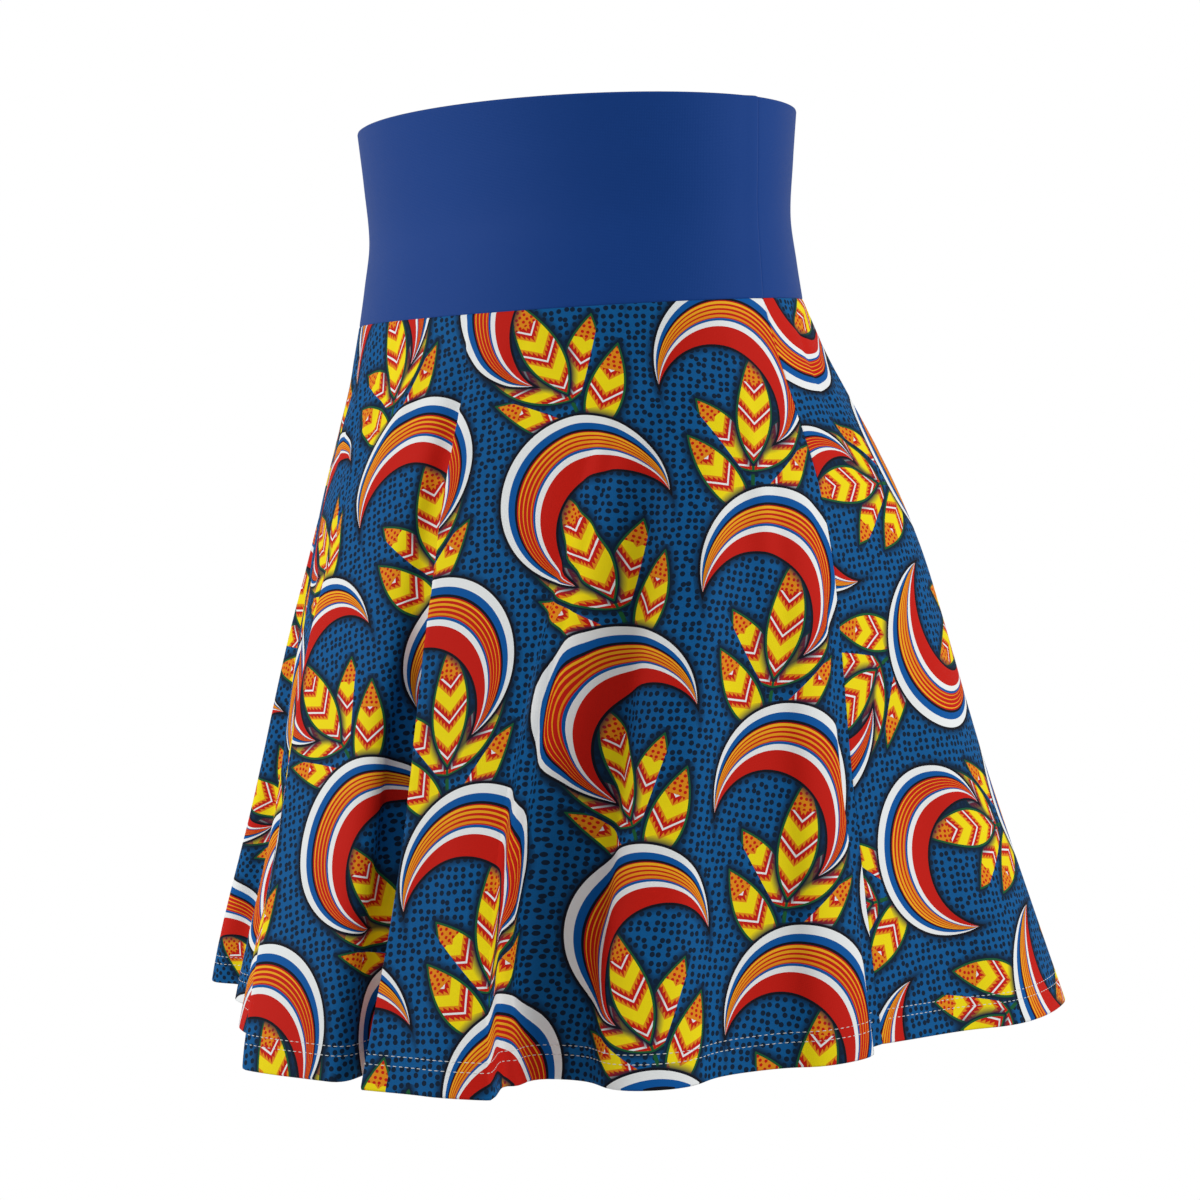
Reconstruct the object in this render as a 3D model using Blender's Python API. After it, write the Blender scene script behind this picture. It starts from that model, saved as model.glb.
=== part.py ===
"""Circle skirt with a high fitted waistband, in its hollow worn form.

Four cut pieces: the front and back of the waistband and the front and back of the skirt.
Metres, +Z up. The wearer faces -Y, so the wearer's left side is at +X.
The origin is the centre of the narrowest ring of the waist, where the body holds the skirt.

Every piece is a stretch of one closed ring that changes with height. A ring starts at the
wearer's right side seam (-180 degrees), runs across the front (-90 degrees) to the left side
seam (0 degrees) and on across the back (+90 degrees).
"""

import math
from collections import namedtuple

import bmesh
import bpy
import numpy as np

# ---- driving sizes ------------------------------------------------------------------------

BAND_THICKNESS = 0.0016  # folded double knit
SKIRT_THICKNESS = 0.0012  # printed single knit
SEAM_GAP = 0.0003  # clear space between two pieces at a seam

RIM_HEIGHT = 0.054  # top edge of the waistband above the waist
SEAM_HEIGHT = -0.045  # joining seam of band and skirt, below the waist
RIM_TILT = -0.010  # rise of the rim for each metre towards the back
SEAM_TILT = 0.040  # rise of the joining seam for each metre towards the back

SIDE_LENGTH = 0.374  # cloth length of the skirt along a side seam
FRONT_DROP = 0.006  # extra length of the front panel at its middle
BACK_DROP = 0.020  # extra length of the back panel, which passes over the seat

BAND_COLUMNS = 36  # faces across one waistband piece
BAND_ROWS = 7
SKIRT_COLUMNS = 120  # faces across one skirt panel
SKIRT_ROWS = 13
POINTS_PER_FLANK = 24  # plan points from one fold line to the next

# The plain rings of the waistband, by height.
BandRing = namedtuple("BandRing", "height half_width half_depth")
BAND_RINGS = [
    BandRing(-0.045, 0.1354, 0.1034),
    BandRing(-0.025, 0.1345, 0.0984),
    BandRing(0.000, 0.1335, 0.0935),
    BandRing(0.028, 0.1345, 0.0965),
    BandRing(0.054, 0.1350, 0.1008),
]

# The plain rings of the skirt, by share of its length; the folds go out and in from them.
SkirtRing = namedtuple("SkirtRing", "share half_width half_depth centre_y")
SKIRT_RINGS = [
    SkirtRing(0.00, 0.1354, 0.1034, 0.000),
    SkirtRing(0.07, 0.1418, 0.1122, 0.003),
    SkirtRing(0.15, 0.1520, 0.1260, 0.006),
    SkirtRing(0.27, 0.1665, 0.1476, 0.011),
    SkirtRing(0.40, 0.1770, 0.1660, 0.014),
    SkirtRing(0.70, 0.1965, 0.1985, 0.014),
    SkirtRing(1.00, 0.2220, 0.2380, 0.010),
]

# One row for each fold line, a ridge or a valley of a flute, round the ring. Its place is
# given at the top, in the middle and at the hem, in degrees. "out" is how far it stands out
# from the plain hem ring, "start" the share of the length where it begins, and "flank" how
# steeply the cloth turns on its way to the next line: 1 is upright and more leans over it.
Fold = namedtuple("Fold", "top middle hem out start flank")
MIDDLE_SHARE = 0.6  # share of the length where "middle" is measured
GROWTH = 1.15  # how the folds deepen: 1 is evenly, more is later
FOLDS = [
    Fold(-180, -180, -180, -0.014, 0.05, 0.6),  # wearer's right side seam
    Fold(-157, -149, -155, 0.015, 0.05, 0.9),
    Fold(-145, -138, -143, -0.024, 0.05, 0.4),
    Fold(-130, -126, -123, -0.044, 0.05, 1.0),
    Fold(-117, -110, -101, -0.031, 0.05, 0.3),
    Fold(-110, -103, -92, -0.022, 0.05, 0.9),
    Fold(-105, -97, -85.5, -0.014, 0.10, 1.2),
    Fold(-103, -93, -82.5, 0.015, 0.05, 0.3),
    Fold(-80, -79, -70.5, 0.013, 0.02, 1.1),
    Fold(-75, -69, -66, -0.018, 0.00, 1.3),
    Fold(-75, -68, -65, 0.021, 0.00, 0.5),
    Fold(-38, -53.5, -50.5, 0.026, 0.05, 1.2),
    Fold(-31, -52, -49.5, -0.004, 0.05, 0.4),
    Fold(-26, -47.5, -45.5, -0.020, 0.05, 0.5),
    Fold(-15, -34, -33.5, 0.010, 0.12, 0.4),
    Fold(-8, -16, -20, -0.010, 0.14, 0.4),
    Fold(-3, -7, -8, 0.003, 0.10, 0.9),
    Fold(5, 0, -1, -0.011, 0.08, 0.5),  # wearer's left side seam
    Fold(26, 30, 33, 0.018, 0.10, 0.5),
    Fold(45, 46, 48, -0.020, 0.05, 0.8),
    Fold(60, 60, 61, 0.014, 0.12, 0.6),
    Fold(73, 73, 73, -0.014, 0.05, 0.7),
    Fold(88, 88, 88, 0.022, 0.02, 1.0),
    Fold(103, 102, 101, -0.018, 0.02, 0.8),
    Fold(117, 116, 115, 0.014, 0.15, 0.5),
    Fold(129, 128, 127, -0.010, 0.15, 0.7),
    Fold(143, 142, 141, 0.022, 0.04, 1.1),
    Fold(157, 155, 154, -0.020, 0.04, 0.8),
    Fold(168, 167, 167, 0.010, 0.10, 0.5),
]
LEFT_SEAM_FOLD = 17  # row of the wearer's left side seam
BAND_SEAM_TURN = 5  # degrees that the band's left seam lies behind the wearer's left

# Finishes: base colour, roughness.
Finish = namedtuple("Finish", "colour roughness")
BAND_FINISH = Finish((0.012, 0.055, 0.215, 1.0), 0.72)
SKIRT_FINISH = Finish((0.010, 0.110, 0.360, 1.0), 0.70)


# ---- curves -------------------------------------------------------------------------------

def smooth_value(places, values, place):
    """Value at a place on a smooth curve through the table's points, without overshoot."""
    steps = np.diff(places)
    slopes = np.diff(values) / steps
    bends = np.zeros(len(places))
    bends[0] = slopes[0]
    bends[-1] = slopes[-1]
    for index in range(1, len(places) - 1):
        before = slopes[index - 1]
        after = slopes[index]
        if before * after > 0:
            bends[index] = 2 * before * after / (before + after)
    cell = min(max(np.searchsorted(places, place) - 1, 0), len(steps) - 1)
    step = steps[cell]
    share = (place - places[cell]) / step
    start_pull = (share ** 3 - 2 * share ** 2 + share) * step * bends[cell]
    end_pull = (share ** 3 - share ** 2) * step * bends[cell + 1]
    rise = 3 * share ** 2 - 2 * share ** 3
    return values[cell] + (values[cell + 1] - values[cell]) * rise + start_pull + end_pull


def table_value(table, key, column, place):
    """Smooth value of one named column of a table at a place along its key column."""
    places = np.array([getattr(row, key) for row in table])
    values = np.array([getattr(row, column) for row in table])
    return smooth_value(places, values, place)


def fold_angle(fold, share):
    """Angle of a fold line at a share of the length: a bow through its three places."""
    top_pull = (share - MIDDLE_SHARE) * (share - 1) / MIDDLE_SHARE
    middle_pull = share * (share - 1) / (MIDDLE_SHARE * (MIDDLE_SHARE - 1))
    hem_pull = share * (share - MIDDLE_SHARE) / (1 - MIDDLE_SHARE)
    return fold.top * top_pull + fold.middle * middle_pull + fold.hem * hem_pull


def fold_reach(fold, share):
    """How far a fold line stands out from the plain ring at a share of the length."""
    grown = max(0.0, (share - fold.start) / (1 - fold.start))
    return fold.out * grown ** GROWTH


# ---- rings --------------------------------------------------------------------------------

def skirt_ring(share):
    """Plan points of the folded ring, the angle of each, and the plain ring's sizes."""
    half_width = table_value(SKIRT_RINGS, "share", "half_width", share)
    half_depth = table_value(SKIRT_RINGS, "share", "half_depth", share)
    centre_y = table_value(SKIRT_RINGS, "share", "centre_y", share)
    angles = [fold_angle(fold, share) for fold in FOLDS]
    reaches = [fold_reach(fold, share) for fold in FOLDS]
    angles.append(angles[0] + 360)
    reaches.append(reaches[0])
    steps = np.arange(POINTS_PER_FLANK) / POINTS_PER_FLANK
    turns = []
    outs = []
    for index, fold in enumerate(FOLDS):
        steepness = fold.flank * min(1.0, share * 1.3)
        along = steps + steepness * np.sin(2 * np.pi * steps) / (2 * np.pi)
        turns.append(angles[index] + (angles[index + 1] - angles[index]) * along)
        rise = (1 - np.cos(np.pi * steps)) / 2
        outs.append(reaches[index] + (reaches[index + 1] - reaches[index]) * rise)
    turn = np.radians(np.append(np.concatenate(turns), angles[-1]))
    out = np.append(np.concatenate(outs), reaches[-1])
    away_x = np.cos(turn) / half_width
    away_y = np.sin(turn) / half_depth
    away = np.hypot(away_x, away_y)
    plan_x = half_width * np.cos(turn) + away_x / away * out
    plan_y = centre_y + half_depth * np.sin(turn) + away_y / away * out
    return plan_x, plan_y, turn, (half_width, half_depth, centre_y)


def band_ring(height):
    """Plan points of the smooth waistband ring at a height."""
    half_width = table_value(BAND_RINGS, "height", "half_width", height)
    half_depth = table_value(BAND_RINGS, "height", "half_depth", height)
    turn = np.linspace(-np.pi, np.pi, len(FOLDS) * POINTS_PER_FLANK + 1)
    return half_width * np.cos(turn), half_depth * np.sin(turn)


def spaced(plan_x, plan_y, seam_point, columns, panel):
    """Equal steps along one panel's stretch of a ring, as shares of the ring's points."""
    steps = np.hypot(np.diff(plan_x), np.diff(plan_y))
    length = np.append(0.0, np.cumsum(steps))
    ends = {"front": (0.0, length[seam_point]), "back": (length[seam_point], length[-1])}
    start, stop = ends[panel]
    wanted = np.linspace(start + SEAM_GAP / 2, stop - SEAM_GAP / 2, columns + 1)
    return np.interp(wanted, length, np.arange(len(length)))


def at(values, shares):
    """Values of a ring at in-between points."""
    return np.interp(shares, np.arange(len(values)), values)


# ---- panels -------------------------------------------------------------------------------

def skirt_points(panel, columns, rows):
    """Outer points and ring directions of a skirt panel, rows from the seam to the hem."""
    points = np.zeros((rows + 1, columns + 1, 3))
    across = np.zeros((rows + 1, columns + 1, 3))
    seam_point = LEFT_SEAM_FOLD * POINTS_PER_FLANK
    drop = FRONT_DROP if panel == "front" else BACK_DROP
    panel_share = np.linspace(0, 1, columns + 1)
    lengths = SIDE_LENGTH + drop * np.sin(np.pi * panel_share)
    plain_before = None
    for row in range(rows + 1):
        share = row / rows
        plan_x, plan_y, turn, plain = skirt_ring(share)
        shares = spaced(plan_x, plan_y, seam_point, columns, panel)
        points[row, :, 0] = at(plan_x, shares)
        points[row, :, 1] = at(plan_y, shares)
        across[row, :, 0] = at(np.gradient(plan_x), shares)
        across[row, :, 1] = at(np.gradient(plan_y), shares)
        if row == 0:
            points[row, :, 2] = SEAM_HEIGHT - SEAM_GAP + SEAM_TILT * points[row, :, 1]
        else:
            direction = at(turn, shares)
            wider = (plain[0] - plain_before[0]) * np.cos(direction)
            deeper = (plain[1] - plain_before[1]) * np.sin(direction)
            flare = np.hypot(wider, deeper + plain[2] - plain_before[2])
            step = lengths / rows
            points[row, :, 2] = points[row - 1, :, 2] - np.sqrt(step ** 2 - flare ** 2)
        plain_before = plain
    return points, across


def band_points(panel, columns, rows):
    """Outer points and ring directions of a waistband piece, rows from the rim down."""
    points = np.zeros((rows + 1, columns + 1, 3))
    across = np.zeros((rows + 1, columns + 1, 3))
    seam_point = round(len(FOLDS) * POINTS_PER_FLANK * (180 + BAND_SEAM_TURN) / 360)
    for row in range(rows + 1):
        share = row / rows
        height = RIM_HEIGHT + (SEAM_HEIGHT - RIM_HEIGHT) * share
        tilt = RIM_TILT + (SEAM_TILT - RIM_TILT) * share
        plan_x, plan_y = band_ring(height)
        shares = spaced(plan_x, plan_y, seam_point, columns, panel)
        points[row, :, 0] = at(plan_x, shares)
        points[row, :, 1] = at(plan_y, shares)
        points[row, :, 2] = height + tilt * points[row, :, 1]
        across[row, :, 0] = at(np.gradient(plan_x), shares)
        across[row, :, 1] = at(np.gradient(plan_y), shares)
    return points, across


def inner_points(points, across, thickness):
    """The points of a wall's inner side, one cloth thickness inside its outer side."""
    down = np.gradient(points, axis=0)
    outward = np.cross(down, across)
    outward /= np.linalg.norm(outward, axis=2, keepdims=True)
    return points - outward * thickness


# ---- objects ------------------------------------------------------------------------------

def cloth_material(name, finish):
    """A plain matt cloth."""
    material = bpy.data.materials.new(name)
    material.use_nodes = True
    surface = material.node_tree.nodes["Principled BSDF"]
    surface.inputs["Base Color"].default_value = finish.colour
    surface.inputs["Roughness"].default_value = finish.roughness
    surface.inputs["Metallic"].default_value = 0.0
    return material


def add_side(mesh, points):
    """One side of a wall: its vertices and quads, row by row."""
    rows, columns = points.shape[:2]
    grid = [[mesh.verts.new(point) for point in row] for row in points]
    for row in range(rows - 1):
        for column in range(columns - 1):
            mesh.faces.new((grid[row][column], grid[row + 1][column],
                            grid[row + 1][column + 1], grid[row][column + 1]))
    return grid


def edge_loop(grid):
    """The vertices round the border of a side, in order."""
    top = grid[0][:-1]
    right = [row[-1] for row in grid[:-1]]
    bottom = grid[-1][:0:-1]
    left = [row[0] for row in grid[:0:-1]]
    return top + right + bottom + left


def cloth_piece(name, points, across, thickness, material):
    """A closed wall of cloth as one named object."""
    mesh = bmesh.new()
    outer = edge_loop(add_side(mesh, points))
    inner = edge_loop(add_side(mesh, inner_points(points, across, thickness)[::-1]))
    inner = inner[len(inner) - 1::-1]
    start = min(range(len(inner)), key=lambda i: (inner[i].co - outer[0].co).length)
    inner = inner[start:] + inner[:start]
    for index in range(len(outer)):
        after = (index + 1) % len(outer)
        mesh.faces.new((outer[index], outer[after], inner[after], inner[index]))
    bmesh.ops.recalc_face_normals(mesh, faces=mesh.faces[:])
    data = bpy.data.meshes.new(name)
    mesh.to_mesh(data)
    mesh.free()
    data.materials.append(material)
    data.shade_smooth()
    data.set_sharp_from_angle(angle=math.radians(50))
    piece = bpy.data.objects.new(name, data)
    bpy.context.scene.collection.objects.link(piece)
    return piece


def waistband(panel):
    """One half of the waistband, from side seam to side seam."""
    name = "waistband_" + panel
    points, across = band_points(panel, BAND_COLUMNS, BAND_ROWS)
    material = cloth_material(name + "_knit", BAND_FINISH)
    return cloth_piece(name, points, across, BAND_THICKNESS, material)


def skirt(panel):
    """One flared panel of the skirt, from side seam to side seam."""
    name = "skirt_" + panel
    points, across = skirt_points(panel, SKIRT_COLUMNS, SKIRT_ROWS)
    material = cloth_material(name + "_knit", SKIRT_FINISH)
    return cloth_piece(name, points, across, SKIRT_THICKNESS, material)


def build():
    """The whole garment."""
    for item in list(bpy.data.objects):
        bpy.data.objects.remove(item, do_unlink=True)
    for panel in ("front", "back"):
        waistband(panel)
        skirt(panel)


build()
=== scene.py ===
"""Finish of a knit circle skirt: fine cloth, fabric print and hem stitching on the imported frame.

Metres, +Z up. The wearer faces -Y, so the wearer's left side seam is at +X. The origin is the
centre of the waist. Every piece of cloth is a stretch of one closed ring that changes with
height: it starts at the right side seam (-180 degrees), runs across the front (-90 degrees) to
the left side seam (0 degrees) and on across the back (+90 degrees).
"""

import math
from collections import namedtuple

import bpy
import numpy as np
from mathutils import Matrix, Vector


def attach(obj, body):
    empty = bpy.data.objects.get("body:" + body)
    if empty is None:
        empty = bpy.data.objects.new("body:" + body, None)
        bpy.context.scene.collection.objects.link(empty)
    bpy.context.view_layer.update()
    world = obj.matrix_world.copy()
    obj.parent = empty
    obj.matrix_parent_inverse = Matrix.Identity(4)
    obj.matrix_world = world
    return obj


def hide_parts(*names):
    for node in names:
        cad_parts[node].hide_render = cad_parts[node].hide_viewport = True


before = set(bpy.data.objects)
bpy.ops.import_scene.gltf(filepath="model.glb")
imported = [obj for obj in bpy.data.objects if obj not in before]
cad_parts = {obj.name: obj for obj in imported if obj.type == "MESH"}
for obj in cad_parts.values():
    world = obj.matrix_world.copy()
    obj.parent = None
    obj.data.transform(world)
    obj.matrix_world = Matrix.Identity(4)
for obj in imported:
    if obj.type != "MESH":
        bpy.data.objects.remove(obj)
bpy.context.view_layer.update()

# ---- the garment's form -------------------------------------------------------------------

BAND_THICKNESS = 0.0018  # folded double knit
SKIRT_THICKNESS = 0.0010  # printed single knit
HEM_THICKNESS = 0.0016  # where the hem is turned up
HEM_DEPTH = 0.0185  # height of the turned hem
HEM_STEP = 0.0006  # the turned edge shows over this much above and below that height
SEAM_GAP = 0.00004  # the pieces meet at their seams

RIM_HEIGHT = 0.054  # top edge of the waistband above the waist
SEAM_HEIGHT = -0.045  # joining seam of band and skirt, below the waist
RIM_TILT = -0.010  # rise of the rim for each metre towards the back
SEAM_TILT = 0.040  # rise of the joining seam for each metre towards the back

SIDE_LENGTH = 0.374  # cloth length of the skirt along a side seam
FRONT_DROP = 0.006  # extra length of the front panel at its middle
BACK_DROP = 0.020  # extra length of the back panel, which passes over the seat

# The plain rings of the waistband, by height.
BandRing = namedtuple("BandRing", "height half_width half_depth")
BAND_RINGS = [
    BandRing(-0.045, 0.1354, 0.1034),
    BandRing(-0.025, 0.1345, 0.0984),
    BandRing(0.000, 0.1335, 0.0935),
    BandRing(0.028, 0.1345, 0.0965),
    BandRing(0.054, 0.1350, 0.1008),
]

# The plain rings of the skirt, by share of its length; the folds go out and in from them.
SkirtRing = namedtuple("SkirtRing", "share half_width half_depth centre_y")
SKIRT_RINGS = [
    SkirtRing(0.00, 0.1354, 0.1034, 0.000),
    SkirtRing(0.07, 0.1418, 0.1122, 0.003),
    SkirtRing(0.15, 0.1520, 0.1260, 0.006),
    SkirtRing(0.27, 0.1665, 0.1476, 0.011),
    SkirtRing(0.40, 0.1770, 0.1660, 0.014),
    SkirtRing(0.70, 0.1965, 0.1985, 0.014),
    SkirtRing(1.00, 0.2220, 0.2380, 0.010),
]

# One row for each fold line, a ridge or a valley of a flute, round the ring. Its place is
# given at the top, in the middle and at the hem, in degrees. "out" is how far it stands out
# from the plain hem ring, "start" the share of the length where it begins, and "flank" how
# steeply the cloth turns on its way to the next line: 1 is upright and more leans over it.
Fold = namedtuple("Fold", "top middle hem out start flank")
MIDDLE_SHARE = 0.6  # share of the length where "middle" is measured
GROWTH = 1.15  # how the folds deepen: 1 is evenly, more is later
FLANK_GROWTH = 1.3  # the flanks are at their full steepness at 1 / 1.3 of the length
FOLDS = [
    Fold(-180, -180, -180, -0.014, 0.05, 0.6),  # wearer's right side seam
    Fold(-157, -149, -155, 0.015, 0.05, 0.9),
    Fold(-145, -138, -143, -0.024, 0.05, 0.4),
    Fold(-130, -126, -123, -0.044, 0.05, 1.0),
    Fold(-117, -110, -101, -0.031, 0.05, 0.3),
    Fold(-110, -103, -92, -0.022, 0.05, 0.9),
    Fold(-105, -97, -85.5, -0.014, 0.10, 1.2),
    Fold(-103, -93, -82.5, 0.015, 0.05, 0.3),
    Fold(-80, -79, -70.5, 0.013, 0.02, 1.1),
    Fold(-75, -69, -66, -0.018, 0.00, 1.3),
    Fold(-75, -68, -65, 0.021, 0.00, 0.5),
    Fold(-38, -53.5, -50.5, 0.026, 0.05, 1.2),
    Fold(-31, -52, -49.5, -0.004, 0.05, 0.4),
    Fold(-26, -47.5, -45.5, -0.020, 0.05, 0.5),
    Fold(-15, -34, -33.5, 0.010, 0.12, 0.4),
    Fold(-8, -16, -20, -0.010, 0.14, 0.4),
    Fold(-3, -7, -8, 0.003, 0.10, 0.9),
    Fold(5, 0, -1, -0.011, 0.08, 0.5),  # wearer's left side seam
    Fold(26, 30, 33, 0.018, 0.10, 0.5),
    Fold(45, 46, 48, -0.020, 0.05, 0.8),
    Fold(60, 60, 61, 0.014, 0.12, 0.6),
    Fold(73, 73, 73, -0.014, 0.05, 0.7),
    Fold(88, 88, 88, 0.022, 0.02, 1.0),
    Fold(103, 102, 101, -0.018, 0.02, 0.8),
    Fold(117, 116, 115, 0.014, 0.15, 0.5),
    Fold(129, 128, 127, -0.010, 0.15, 0.7),
    Fold(143, 142, 141, 0.022, 0.04, 1.1),
    Fold(157, 155, 154, -0.020, 0.04, 0.8),
    Fold(168, 167, 167, 0.010, 0.10, 0.5),
]
LEFT_SEAM_FOLD = 17  # row of the wearer's left side seam
BAND_SEAM_TURN = 5  # degrees that the band's left seam lies behind the wearer's left
POINTS_PER_FLANK = 40  # plan points from one fold line to the next

# Soft troughs and ridges between the folds. A crease runs from one place at its upper end to
# another at its lower end, as shares of the panel's width and of its length. "out" is its
# height, below 0 for a trough, and "width" its usual half width.
Crease = namedtuple("Crease", "panel upper lower start end out width")
CREASES = [
    Crease("front", 0.30, 0.27, 0.00, 0.34, -0.0022, 0.006),
    Crease("front", 0.37, 0.35, 0.00, 0.24, 0.0014, 0.005),
    Crease("front", 0.44, 0.41, 0.00, 0.55, -0.0024, 0.007),
    Crease("front", 0.52, 0.46, 0.00, 0.28, 0.0016, 0.006),
    Crease("front", 0.60, 0.53, 0.02, 0.50, -0.0018, 0.008),
    Crease("front", 0.68, 0.62, 0.00, 0.22, -0.0010, 0.006),
    Crease("front", 0.76, 0.70, 0.05, 0.42, 0.0012, 0.009),
    Crease("front", 0.85, 0.80, 0.00, 0.30, -0.0012, 0.007),
    Crease("front", 0.93, 0.92, 0.04, 0.62, 0.0014, 0.007),
    Crease("front", 0.12, 0.13, 0.00, 0.40, -0.0016, 0.006),
    Crease("front", 0.20, 0.18, 0.00, 0.25, 0.0014, 0.005),
    Crease("front", 0.88, 0.84, 0.55, 1.10, -0.0014, 0.010),
    Crease("front", 0.57, 0.60, 0.60, 1.10, 0.0016, 0.011),
    Crease("front", 0.80, 0.768, 0.14, 1.02, -0.0120, 0.028),
    Crease("front", 0.87, 0.835, 0.16, 0.95, 0.0036, 0.018),
    Crease("front", 0.57, 0.562, 0.40, 0.98, -0.0050, 0.014),
    Crease("back", 0.07, 0.08, 0.00, 0.36, -0.0018, 0.006),
    Crease("back", 0.15, 0.17, 0.00, 0.24, 0.0013, 0.006),
    Crease("back", 0.24, 0.25, 0.03, 0.52, -0.0020, 0.008),
    Crease("back", 0.33, 0.34, 0.00, 0.27, 0.0015, 0.005),
    Crease("back", 0.41, 0.42, 0.00, 0.44, -0.0017, 0.007),
    Crease("back", 0.52, 0.53, 0.02, 0.30, 0.0014, 0.007),
    Crease("back", 0.61, 0.60, 0.00, 0.48, -0.0021, 0.006),
    Crease("back", 0.70, 0.69, 0.00, 0.25, 0.0012, 0.006),
    Crease("back", 0.79, 0.78, 0.04, 0.55, -0.0016, 0.008),
    Crease("back", 0.90, 0.91, 0.00, 0.33, 0.0015, 0.006),
    Crease("back", 0.28, 0.30, 0.58, 1.10, 0.0015, 0.011),
    Crease("back", 0.66, 0.64, 0.52, 1.10, -0.0014, 0.010),
]
CREASE_TOP = 0.6  # share of the usual width at a crease's upper end
CREASE_WIDENING = 0.8  # how much of it is added towards the lower end
CREASE_FADE = 0.8  # how a crease rises from its ends: below 1 is sooner

# The cloth turns in at its seams. At the waistband's side seams the allowances lie under the
# front half and raise it.
SEAM_REACH = 0.0014  # how far from a seam the cloth starts to turn in
SEAM_SINK = 0.0003  # how deep it turns in
ALLOWANCE_LIFT = 0.0006
ALLOWANCE_WIDTH = 0.010
ALLOWANCE_TOP = 0.002  # the cloth is at its highest up to here from the seam

# Rows and columns of the fine cloth. Extra ones lie close to every edge, where it turns in.
EDGE_PLACES = [0.0, 0.0003, 0.0007, 0.0013, 0.0022]
PANEL_WIDTH = 0.6  # rough width of a skirt panel, which its columns are spaced by
SKIRT_COLUMNS = 330
SKIRT_ROWS = 84
BAND_COLUMNS = 150
BAND_ROWS = 40
EDGE_TURNS = 3  # points round the thickness of an edge
SHARP_ANGLE = math.radians(50)  # edges that turn more than this are shaded sharp

# ---- cut of the panels --------------------------------------------------------------------

INNER_RADIUS = 0.275  # of the ring that the skirt panels are cut from
PANEL_ANGLE = math.radians(78.6)  # of the ring's sector that one panel takes
# How far each panel is turned on the print.
PRINT_TURN = {"front": math.radians(-20), "back": math.radians(-54)}
BAND_WIDTH = {"front": 0.395, "back": 0.353}  # cut widths of the waistband halves
BAND_DEPTH = 0.100  # and their finished depth, folded double

# ---- hem stitching ------------------------------------------------------------------------

STITCH_ROWS = [0.0110, 0.0155]  # above the hem's edge
STITCH_PITCH = 0.0031
STITCH_LENGTH = 0.0023
THREAD_RADIUS = 0.00022
BEAD_SIDES = 6  # each stitch is a small smooth bead
BEAD_RINGS = 5


# ---- curves -------------------------------------------------------------------------------

def smooth_value(places, values, place):
    """Value at a place on a smooth curve through the table's points, without overshoot."""
    steps = np.diff(places)
    slopes = np.diff(values) / steps
    bends = np.zeros(len(places))
    bends[0] = slopes[0]
    bends[-1] = slopes[-1]
    for index in range(1, len(places) - 1):
        before = slopes[index - 1]
        after = slopes[index]
        if before * after > 0:
            bends[index] = 2 * before * after / (before + after)
    cell = min(max(np.searchsorted(places, place) - 1, 0), len(steps) - 1)
    step = steps[cell]
    share = (place - places[cell]) / step
    start_pull = (share ** 3 - 2 * share ** 2 + share) * step * bends[cell]
    end_pull = (share ** 3 - share ** 2) * step * bends[cell + 1]
    rise = 3 * share ** 2 - 2 * share ** 3
    return values[cell] + (values[cell + 1] - values[cell]) * rise + start_pull + end_pull


def table_value(table, key, column, place):
    """Smooth value of one named column of a table at a place along its key column."""
    places = np.array([getattr(row, key) for row in table])
    values = np.array([getattr(row, column) for row in table])
    return smooth_value(places, values, place)


def fold_angle(fold, share):
    """Angle of a fold line at a share of the length: a bow through its three places."""
    top_pull = (share - MIDDLE_SHARE) * (share - 1) / MIDDLE_SHARE
    middle_pull = share * (share - 1) / (MIDDLE_SHARE * (MIDDLE_SHARE - 1))
    hem_pull = share * (share - MIDDLE_SHARE) / (1 - MIDDLE_SHARE)
    return fold.top * top_pull + fold.middle * middle_pull + fold.hem * hem_pull


def fold_reach(fold, share):
    """How far a fold line stands out from the plain ring at a share of the length."""
    grown = max(0.0, (share - fold.start) / (1 - fold.start))
    return fold.out * grown ** GROWTH


def step_up(values, start, end):
    """A soft step from 0 at the start to 1 at the end."""
    share = np.clip((values - start) / (end - start), 0, 1)
    return share * share * (3 - 2 * share)


def edge_spaced(length, count):
    """Places from 0 to a length, even but for extra ones close to both ends."""
    first = EDGE_PLACES[-1] * 2
    middle = np.linspace(first, length - first, count + 1 - 2 * len(EDGE_PLACES))
    near = np.array(EDGE_PLACES)
    return np.concatenate([near, middle, length - near[::-1]])


# ---- rings --------------------------------------------------------------------------------

def skirt_ring(share):
    """Plan points of the folded ring, the angle of each, and the plain ring's sizes."""
    half_width = table_value(SKIRT_RINGS, "share", "half_width", share)
    half_depth = table_value(SKIRT_RINGS, "share", "half_depth", share)
    centre_y = table_value(SKIRT_RINGS, "share", "centre_y", share)
    angles = [fold_angle(fold, share) for fold in FOLDS]
    reaches = [fold_reach(fold, share) for fold in FOLDS]
    angles.append(angles[0] + 360)
    reaches.append(reaches[0])
    steps = np.arange(POINTS_PER_FLANK) / POINTS_PER_FLANK
    turns = []
    outs = []
    for index, fold in enumerate(FOLDS):
        steepness = fold.flank * min(1.0, share * FLANK_GROWTH)
        along = steps + steepness * np.sin(2 * np.pi * steps) / (2 * np.pi)
        turns.append(angles[index] + (angles[index + 1] - angles[index]) * along)
        rise = (1 - np.cos(np.pi * steps)) / 2
        outs.append(reaches[index] + (reaches[index + 1] - reaches[index]) * rise)
    turn = np.radians(np.append(np.concatenate(turns), angles[-1]))
    out = np.append(np.concatenate(outs), reaches[-1])
    away_x = np.cos(turn) / half_width
    away_y = np.sin(turn) / half_depth
    away = np.hypot(away_x, away_y)
    plan_x = half_width * np.cos(turn) + away_x / away * out
    plan_y = centre_y + half_depth * np.sin(turn) + away_y / away * out
    return plan_x, plan_y, turn, (half_width, half_depth, centre_y)


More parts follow.
